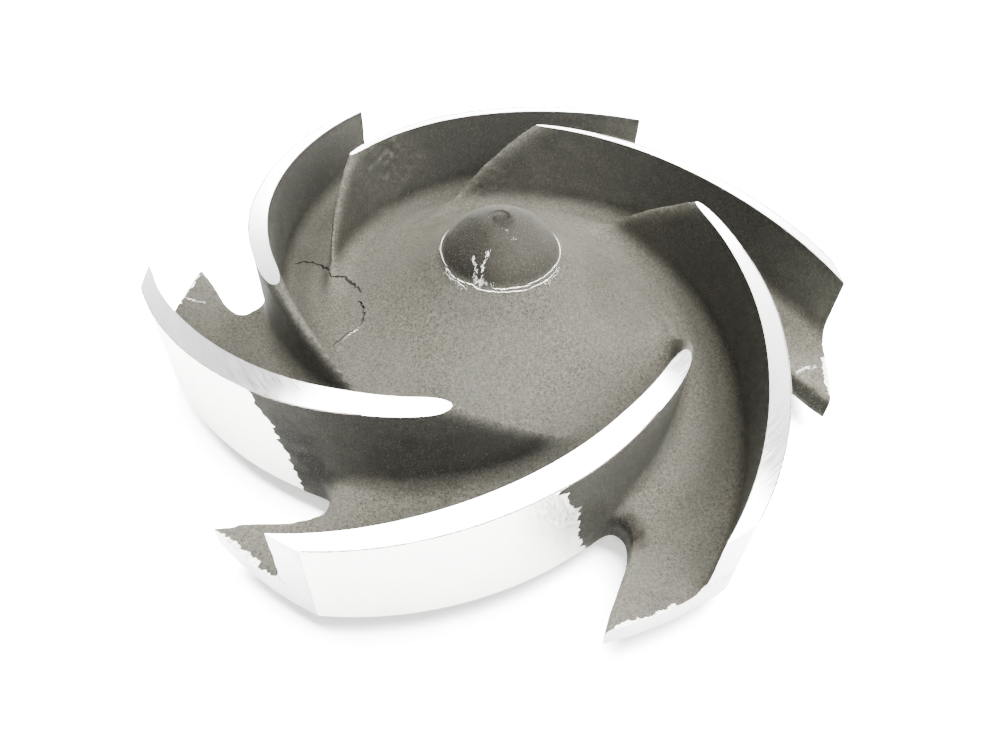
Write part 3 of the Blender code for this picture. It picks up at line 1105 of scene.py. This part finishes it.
@dataclass
class NodeSheet:
    """A node tree with short calls that add nodes and join them."""

    tree: bpy.types.NodeTree

    def add(
        self, kind: str, inputs: dict[str | int, Value] | None = None, **settings: object,
    ) -> bpy.types.Node:
        """Adds one node.

        Args:
            kind: Blender's type name of the node.
            inputs: Values, or sockets to join, by input name or number.
            settings: Properties of the node.

        Returns:
            The node.
        """
        node = self.tree.nodes.new(kind)
        for name, value in settings.items():
            setattr(node, name, value)
        for key, value in (inputs or {}).items():
            if isinstance(value, Socket):
                self.tree.links.new(value, node.inputs[key])
            else:
                node.inputs[key].default_value = value
        return node

    def math(self, operation: str, *values: Value) -> Socket:
        """Result of a Math node on the values."""
        return self.add("ShaderNodeMath", dict(enumerate(values)), operation=operation).outputs[0]

    def mix(self, factor: Value, first: Value, second: Value, blend: str = "MIX") -> Socket:
        """Result of a colour Mix node."""
        inputs = {0: factor, 6: first, 7: second}
        node = self.add("ShaderNodeMix", inputs, data_type="RGBA", blend_type=blend)
        return node.outputs[2]

    def spread(self, value: Socket, low: float, high: float, new_low: float, new_high: float) -> Socket:
        """A value moved from one range to another and kept inside it."""
        inputs = {0: value, 1: low, 2: high, 3: new_low, 4: new_high}
        return self.add("ShaderNodeMapRange", inputs).outputs[0]

    def place(self) -> Socket:
        """Point on the casting, in metres."""
        return self.add("ShaderNodeTexCoord").outputs["Object"]

    def noise(
        self, scale: Value, detail: float = 2.0, rough: float = 0.5, place: Socket | None = None,
    ) -> Socket:
        """Value of a noise texture from 0 to 1."""
        inputs = {"Vector": place or self.place(), "Scale": scale, "Detail": detail, "Roughness": rough}
        return self.add("ShaderNodeTexNoise", inputs).outputs["Fac"]


class Effects:
    """Shader node groups shared by the finishes, each built once."""

    @staticmethod
    def group(
        name: str, inputs: dict[str, float], outputs: tuple[str, ...],
    ) -> tuple[NodeSheet, bpy.types.Node, bpy.types.Node]:
        """New empty group.

        Args:
            name: Name of the group.
            inputs: Default of each named number that goes in.
            outputs: Names of the numbers that come out.

        Returns:
            Its sheet, its input node and its output node.
        """
        tree = bpy.data.node_groups.new(name, "ShaderNodeTree")
        for label, value in inputs.items():
            socket = tree.interface.new_socket(label, in_out="INPUT", socket_type="NodeSocketFloat")
            socket.default_value = value
        for label in outputs:
            tree.interface.new_socket(label, in_out="OUTPUT", socket_type="NodeSocketFloat")
        sheet = NodeSheet(tree)
        return sheet, sheet.add("NodeGroupInput"), sheet.add("NodeGroupOutput")

    @staticmethod
    def placed(sheet: NodeSheet, name: str, **values: float) -> bpy.types.Node:
        """The named group placed in a material, with its own values."""
        tree = bpy.data.node_groups.get(name) or getattr(Effects, name)()
        labels = {key.replace("_", " ").capitalize(): value for key, value in values.items()}
        return sheet.add("ShaderNodeGroup", labels, node_tree=tree)

    @staticmethod
    def sand_grain() -> bpy.types.NodeTree:
        """Grain of moulding sand: a fine speckle and a coarser roughness under it."""
        sheet, given, made = Effects.group(
            "sand_grain", {"Grains per metre": 1500.0, "Contrast": 1.0}, ("Shade", "Height", "Fleck"))
        fine = sheet.noise(given.outputs["Grains per metre"], 2.0, 0.7)
        coarse = sheet.noise(sheet.math("MULTIPLY", given.outputs["Grains per metre"], 0.31), 3.0, 0.6)
        both = sheet.math("ADD", sheet.math("MULTIPLY", fine, 0.65), sheet.math("MULTIPLY", coarse, 0.35))
        swing = sheet.math("SUBTRACT", both, 0.5)
        shade = sheet.math("MULTIPLY_ADD", swing, given.outputs["Contrast"], 0.5)
        sheet.tree.links.new(shade, made.inputs["Shade"])
        sheet.tree.links.new(both, made.inputs["Height"])
        specks = sheet.noise(sheet.math("MULTIPLY", given.outputs["Grains per metre"], 1.1), 0.0, 0.5)
        sheet.tree.links.new(sheet.spread(specks, 0.735, 0.80, 0.0, 1.0), made.inputs["Fleck"])
        return sheet.tree

    @staticmethod
    def blotches() -> bpy.types.NodeTree:
        """Soft uneven patches at two sizes."""
        sheet, given, made = Effects.group(
            "blotches", {"Patches per metre": 40.0, "Sharpness": 3.0}, ("Patch", "Fleck"))
        large = sheet.noise(given.outputs["Patches per metre"], 4.0, 0.6)
        lifted = sheet.math("MULTIPLY", sheet.math("SUBTRACT", large, 0.5), given.outputs["Sharpness"])
        patch = sheet.add("ShaderNodeClamp", {0: sheet.math("ADD", lifted, 0.5)}).outputs[0]
        small = sheet.noise(sheet.math("MULTIPLY", given.outputs["Patches per metre"], 9.0), 3.0, 0.7)
        sheet.tree.links.new(patch, made.inputs["Patch"])
        sheet.tree.links.new(sheet.spread(small, 0.60, 0.72, 0.0, 1.0), made.inputs["Fleck"])
        return sheet.tree

    @staticmethod
    def tool_marks() -> bpy.types.NodeTree:
        """Fine lines of a cutting tool, round the axis or up and down at a slant."""
        sheet, given, made = Effects.group(
            "tool_marks", {"Lines per metre": 2500.0, "Upright": 0.0}, ("Line", "Streak"))
        split = sheet.add("ShaderNodeSeparateXYZ", {0: sheet.place()})
        x, y, z = split.outputs
        squares = sheet.math("ADD", sheet.math("MULTIPLY", x, x), sheet.math("MULTIPLY", y, y))
        radius = sheet.math("SQRT", squares)
        turn = sheet.math("ARCTAN2", y, x)
        swept = sheet.add("ShaderNodeCombineXYZ", {
            0: radius, 1: sheet.math("MULTIPLY", turn, 0.004), 2: sheet.math("MULTIPLY", z, 0.3),
        })
        slant = sheet.math("MULTIPLY_ADD", z, 0.45, x)
        upright = sheet.add("ShaderNodeCombineXYZ", {0: slant, 1: y, 2: sheet.math("MULTIPLY", z, 0.02)})
        along = sheet.add(
            "ShaderNodeMix", {0: given.outputs["Upright"], 4: swept.outputs[0], 5: upright.outputs[0]},
            data_type="VECTOR").outputs[1]
        line = sheet.noise(given.outputs["Lines per metre"], 1.0, 0.5, along)
        streak = sheet.noise(sheet.math("MULTIPLY", given.outputs["Lines per metre"], 0.2), 2.0, 0.6, along)
        sheet.tree.links.new(line, made.inputs["Line"])
        sheet.tree.links.new(streak, made.inputs["Streak"])
        return sheet.tree


@dataclass(frozen=True)
class Finish:
    """What every finish of the casting has: a material that it fills with nodes."""

    surface: Surface

    def sheet(self) -> tuple[NodeSheet, bpy.types.Node]:
        """The emptied material's sheet and its shader, joined to the output."""
        material = placeholder(self.surface)
        material.use_nodes = True
        material.node_tree.nodes.clear()
        sheet = NodeSheet(material.node_tree)
        shader = sheet.add("ShaderNodeBsdfPrincipled")
        sheet.add("ShaderNodeOutputMaterial", {"Surface": shader.outputs[0]})
        return sheet, shader

    @staticmethod
    def bump(
        sheet: NodeSheet, shader: bpy.types.Node, height: Socket, strength: float, distance: float,
    ) -> None:
        """Joins a height to the shader's normal."""
        node = sheet.add("ShaderNodeBump", {"Height": height, "Strength": strength, "Distance": distance})
        sheet.tree.links.new(node.outputs[0], shader.inputs["Normal"])


@dataclass(frozen=True)
class CastSkin(Finish):
    """Grey skin as it left the sand, with painted shade that darkens the upright faces."""

    # light is the skin's colour on faces that look up; dark is the painted shade colour for upright faces.
    light: tuple[float, ...] = (0.203, 0.198, 0.166, 1.0)
    dark: tuple[float, ...] = (0.071, 0.071, 0.061, 1.0)
    brown: tuple[float, ...] = (0.150, 0.125, 0.085, 1.0)
    fleck: tuple[float, ...] = (0.40, 0.39, 0.34, 1.0)
    grains: float = 3100.0

    def fill(self) -> None:
        """Fills the material."""
        sheet, shader = self.sheet()
        grain = Effects.placed(sheet, "sand_grain", grains_per_metre=self.grains, contrast=3.6)
        patch = Effects.placed(sheet, "blotches", patches_per_metre=55.0, sharpness=3.0)
        normal = sheet.add("ShaderNodeNewGeometry").outputs["Normal"]
        facing = sheet.add("ShaderNodeSeparateXYZ", {0: normal})
        # Painted shade: the less a face looks up, the more it takes the dark colour.
        upward = sheet.spread(facing.outputs[2], 0.05, 0.75, 0.0, 1.0)
        base = sheet.mix(upward, self.dark, self.light)
        tint = sheet.math("MULTIPLY", patch.outputs["Patch"], sheet.spread(upward, 0.0, 1.0, 0.06, 0.28))
        base = sheet.mix(tint, base, self.brown)
        # The tone attribute brings painted shade, painted light and a few stains into the skin's colour.
        tone = sheet.add("ShaderNodeAttribute", attribute_name="tone").outputs["Fac"]
        shade = sheet.spread(tone, -1.0, 1.0, 0.25, 1.75)
        lit = sheet.spread(upward, 0.0, 1.0, 0.5, 1.0)
        bite = sheet.math("MULTIPLY", sheet.spread(tone, -0.9, 0.0, 0.45, 1.0), lit)
        bite = sheet.math("MULTIPLY", bite, sheet.spread(patch.outputs["Patch"], 0.0, 1.0, 0.65, 1.15))
        swing = sheet.spread(grain.outputs["Shade"], 0.0, 1.0, -0.70, 0.70)
        gain = sheet.math("MULTIPLY", sheet.math("MULTIPLY_ADD", swing, bite, 1.0), shade)
        grey = sheet.add("ShaderNodeCombineColor", {0: gain, 1: gain, 2: gain}).outputs[0]
        base = sheet.mix(1.0, base, grey, "MULTIPLY")
        base = sheet.mix(sheet.math("MULTIPLY", grain.outputs["Fleck"], 0.5), base, self.fleck)
        sheet.tree.links.new(base, shader.inputs["Base Color"])
        rough = sheet.spread(grain.outputs["Shade"], 0.0, 1.0, 0.50, 0.72)
        sheet.tree.links.new(rough, shader.inputs["Roughness"])
        shader.inputs["Specular IOR Level"].default_value = 0.02
        self.bump(sheet, shader, sheet.math("MULTIPLY", grain.outputs["Height"], bite), 0.55, 0.0004)


@dataclass(frozen=True)
class CutMetal(Finish):
    """Bright iron left by a cutting tool or a grinding wheel."""

    colour: tuple[float, ...] = (0.80, 0.80, 0.79, 1.0)
    stain: tuple[float, ...] = (0.48, 0.48, 0.47, 1.0)
    lines: float = 3000.0
    upright: float = 0.0
    stained: float = 0.3
    roughness: tuple[float, float] = (0.12, 0.22)
    metallic: float = 1.0
    marks: float = 0.25

    def fill(self) -> None:
        """Fills the material."""
        sheet, shader = self.sheet()
        tool = Effects.placed(sheet, "tool_marks", lines_per_metre=self.lines, upright=self.upright)
        patch = Effects.placed(sheet, "blotches", patches_per_metre=90.0, sharpness=4.0)
        share = sheet.math("MULTIPLY", patch.outputs["Patch"], self.stained)
        streaks = sheet.spread(tool.outputs["Streak"], 0.35, 0.65, 0.0, 0.35)
        base = sheet.mix(sheet.math("MAXIMUM", share, streaks), self.colour, self.stain)
        sheet.tree.links.new(base, shader.inputs["Base Color"])
        rough = sheet.spread(tool.outputs["Line"], 0.3, 0.7, *self.roughness)
        sheet.tree.links.new(rough, shader.inputs["Roughness"])
        shader.inputs["Metallic"].default_value = self.metallic
        self.bump(sheet, shader, tool.outputs["Line"], self.marks, 0.00005)


@dataclass(frozen=True)
class BrokenIron(Finish):
    """Sparkling broken or smeared metal."""

    colour: tuple[float, ...] = (0.95, 0.95, 0.92, 1.0)
    shade: tuple[float, ...] = (0.45, 0.44, 0.41, 1.0)

    def fill(self) -> None:
        """Fills the material."""
        sheet, shader = self.sheet()
        grain = Effects.placed(sheet, "sand_grain", grains_per_metre=1900.0, contrast=4.0)
        base = sheet.mix(grain.outputs["Shade"], self.shade, self.colour)
        sheet.tree.links.new(base, shader.inputs["Base Color"])
        rough = sheet.spread(grain.outputs["Shade"], 0.0, 1.0, 0.55, 0.35)
        sheet.tree.links.new(rough, shader.inputs["Roughness"])
        shader.inputs["Metallic"].default_value = 0.6
        self.bump(sheet, shader, grain.outputs["Height"], 0.9, 0.0005)


@dataclass(frozen=True)
class CrackShade(Finish):
    """Near-black inside of the crack: painted shade down in the cut, with a little rust tint."""

    # Near-black painted shade for inside the crack, and a rust tint that the grain mixes in.
    colour: tuple[float, ...] = (0.012, 0.012, 0.010, 1.0)
    rust_in_shade: tuple[float, ...] = (0.026, 0.022, 0.017, 1.0)

    def fill(self) -> None:
        """Fills the material."""
        sheet, shader = self.sheet()
        grain = Effects.placed(sheet, "sand_grain", grains_per_metre=1200.0, contrast=3.0)
        base = sheet.mix(grain.outputs["Shade"], self.colour, self.rust_in_shade)
        sheet.tree.links.new(base, shader.inputs["Base Color"])
        shader.inputs["Roughness"].default_value = 0.9
        self.bump(sheet, shader, grain.outputs["Height"], 0.6, 0.0004)


FINISHES = (
    CastSkin(Surface.CAST_SKIN),
    CutMetal(Surface.TURNED_FRONT),
    CutMetal(Surface.GROUND_BACK, colour=(0.80, 0.80, 0.76, 1.0), lines=1500.0, upright=1.0,
             roughness=(0.32, 0.5), stained=0.35, marks=0.6),
    CutMetal(Surface.TURNED_RIM, colour=(0.26, 0.26, 0.25, 1.0), stain=(0.15, 0.145, 0.14, 1.0),
             stained=0.7),
    CutMetal(Surface.FACED_BACK, colour=(0.42, 0.42, 0.40, 1.0), stain=(0.22, 0.21, 0.19, 1.0),
             stained=0.8, lines=1400.0, roughness=(0.35, 0.55), marks=0.4),
    BrokenIron(Surface.BROKEN_EDGE),
    CrackShade(Surface.CRACK),
    # The burr's small ridge is real; its dark colour is painted shade along the rolled edge.
    BrokenIron(Surface.BURR_PAINTED_SHADE, colour=(0.26, 0.22, 0.21, 1.0), shade=(0.10, 0.085, 0.08, 1.0)),
)


# Studio


@dataclass
class Studio:
    """Pale floor, soft light and the camera at the photograph's angle."""

    floor_size: float = 6.0
    floor_colour: tuple[float, ...] = (0.86, 0.86, 0.86, 1.0)
    floor_on_matt: tuple[float, ...] = (0.015, 0.015, 0.015, 1.0)
    floor_in_gloss: float = 0.60
    floor_power: float = 1600.0
    floor_lamp_place: Point = (0.15, 0.32, 1.50)
    floor_lamp_size: float = 1.5
    overhead_place: Point = (0.30, -0.30, 1.00)
    overhead_target: Point = (0.0, 0.0, 0.03)
    overhead_size: float = 1.4
    overhead_power: float = 40.0
    backdrop: float = 0.6
    far_wall: float = 22.0
    reflected_wall: tuple[float, float, float] = (4.2, -3.85, 0.92)
    reflected_top: float = 36.0
    reflected_low: float = 45.0
    dip_rise: tuple[float, float] = (0.66, 0.70)
    dip_share: float = 0.6
    top_rise: tuple[float, float] = (0.785, 0.80)
    low_reach: float = 0.22
    surround_on_matt: float = 0.18
    place: Point = (-0.004527, -0.226003, 0.245466)
    right: Point = (0.999531, 0.005381, 0.03021)
    up: Point = (-0.024266, 0.741197, 0.67085)
    ahead: Point = (0.018781, 0.671272, -0.74098)
    lens: float = 29.193

    def build(self) -> None:
        """Builds floor, surroundings, lights and camera."""
        self.floor()
        self.surroundings()
        self.soft_light(
            "overhead", self.overhead_place, self.overhead_target, self.overhead_size, self.overhead_power)
        self.camera()

    def floor(self) -> None:
        """Large pale sheet with its own light, so that it is white but keeps soft shadows."""
        mesh = bpy.data.meshes.new("floor")
        half = self.floor_size / 2
        corners = [(-half, -half, 0), (half, -half, 0), (half, half, 0), (-half, half, 0)]
        mesh.from_pydata(corners, [], [(0, 1, 2, 3)])
        floor = bpy.data.objects.new("floor", mesh)
        bpy.context.collection.objects.link(floor)
        material = bpy.data.materials.new("pale_floor")
        material.use_nodes = True
        material.node_tree.nodes.clear()
        sheet = NodeSheet(material.node_tree)
        path = sheet.add("ShaderNodeLightPath")
        dimmed = tuple(self.floor_in_gloss * v for v in self.floor_colour[:3]) + (1.0,)
        tone = sheet.mix(path.outputs["Is Glossy Ray"], self.floor_colour, dimmed)
        tone = sheet.mix(path.outputs["Is Diffuse Ray"], tone, self.floor_on_matt)
        matt = sheet.add("ShaderNodeBsdfDiffuse", {"Color": tone})
        seen = sheet.math("MULTIPLY", path.outputs["Is Camera Ray"], self.backdrop)
        glow = sheet.add("ShaderNodeEmission", {"Strength": seen})
        both = sheet.add("ShaderNodeAddShader", {0: matt.outputs[0], 1: glow.outputs[0]})
        sheet.add("ShaderNodeOutputMaterial", {"Surface": both.outputs[0]})
        mesh.materials.append(material)
        lamp = self.soft_light(
            "floor_light", self.floor_lamp_place, (0.0, 0.0, 0.0), self.floor_lamp_size, self.floor_power)
        lit = bpy.data.collections.new("lit_floor")
        lit.objects.link(floor)
        lamp.light_linking.receiver_collection = lit

    def surroundings(self) -> None:
        """Bright surroundings, dimmer for matt faces."""
        world = bpy.data.worlds.new("surroundings")
        world.use_nodes = True
        world.node_tree.nodes.clear()
        sheet = NodeSheet(world.node_tree)
        path = sheet.add("ShaderNodeLightPath")
        aim = sheet.add("ShaderNodeTexCoord").outputs["Generated"]
        across, _, height = sheet.add("ShaderNodeSeparateXYZ", {0: aim}).outputs
        level, fall, slant = self.reflected_wall
        stops = sheet.math("MULTIPLY_ADD", height, fall, level)
        stops = sheet.math("MULTIPLY_ADD", across, slant, stops)
        wall = sheet.math("POWER", 2.0, stops)
        wall = sheet.math("MULTIPLY", wall, sheet.spread(height, *self.dip_rise, 1.0, self.dip_share))
        soft_top = sheet.math("ADD", wall, sheet.spread(height, *self.top_rise, 0.0, self.reflected_top))
        low = sheet.spread(height, 0.0, self.low_reach, self.reflected_low, 0.0)
        soft_top = sheet.math("ADD", soft_top, low)
        parts = [
            sheet.math("MULTIPLY", path.outputs["Is Camera Ray"], self.far_wall),
            sheet.math("MULTIPLY", path.outputs["Is Glossy Ray"], soft_top),
            sheet.math("MULTIPLY", path.outputs["Is Diffuse Ray"], self.surround_on_matt),
        ]
        strength = sheet.math("ADD", sheet.math("ADD", parts[0], parts[1]), parts[2])
        shell = sheet.add("ShaderNodeBackground", {"Strength": strength})
        sheet.add("ShaderNodeOutputWorld", {"Surface": shell.outputs[0]})
        bpy.context.scene.world = world

    def soft_light(
        self, name: str, place: Point, target: Point, size: float, power: float,
    ) -> bpy.types.Object:
        """A square area light.

        Args:
            name: Name of the light.
            place: Where it stands.
            target: Point that it faces.
            size: Its side in metres.
            power: Its power in watts.

        Returns:
            The lamp.
        """
        light = bpy.data.lights.new(name, "AREA")
        light.size, light.energy = size, power
        light.specular_factor = 0.3
        lamp = bpy.data.objects.new(name, light)
        lamp.location = place
        lamp.rotation_euler = (Vector(target) - Vector(place)).to_track_quat("-Z", "Y").to_euler()
        bpy.context.collection.objects.link(lamp)
        return lamp

    def camera(self) -> None:
        """The camera, placed from the vanes' outlines in the photograph."""
        data = bpy.data.cameras.new("camera")
        data.lens, data.sensor_width = self.lens, 36.0
        data.clip_start = 0.01
        eye = bpy.data.objects.new("camera", data)
        turn = Matrix((self.right, self.up, [-v for v in self.ahead])).transposed()
        eye.matrix_world = Matrix.Translation(self.place) @ turn.to_4x4()
        bpy.context.collection.objects.link(eye)
        bpy.context.scene.camera = eye


# Main


def mark_seams(mesh: bpy.types.Mesh, angle: float) -> None:
    """Smooth shading with sharp edges at corners and where two finishes meet.

    Args:
        mesh: Mesh to shade.
        angle: Corners sharper than this are kept sharp, in radians.
    """
    mesh.shade_smooth()
    work = bmesh.new()
    work.from_mesh(mesh)
    for edge in work.edges:
        faces = edge.link_faces
        if len(faces) == 2:
            other = faces[0].material_index != faces[1].material_index
            edge.smooth = not (other or edge.calc_face_angle(0.0) > angle)
    work.to_mesh(mesh)
    work.free()


def main() -> None:
    """Builds the impeller and its studio."""
    casting = Blank().build()
    Skin().apply(casting)
    LOG.info("%s: %d faces after fusing", casting.name, len(casting.data.polygons))
    Machining().apply(casting)
    Crack().apply(casting)
    mark_seams(casting.data, math.radians(SHARP_CORNER))
    Toning().apply(casting.data)
    skin = BVHTree.FromObject(casting, bpy.context.evaluated_depsgraph_get())
    pieces = [casting, NoseFlash().build(skin), Spatter().build(skin), EdgeBurr().build()]
    for finish in FINISHES:
        finish.fill()
    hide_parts(NODE)
    for piece in pieces:
        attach(piece, BODY)
        LOG.info("%s: %d faces", piece.name, len(piece.data.polygons))
    Studio().build()


if __name__ == "__main__":
    logging.basicConfig(level=logging.INFO, format="%(name)s: %(message)s")
    main()
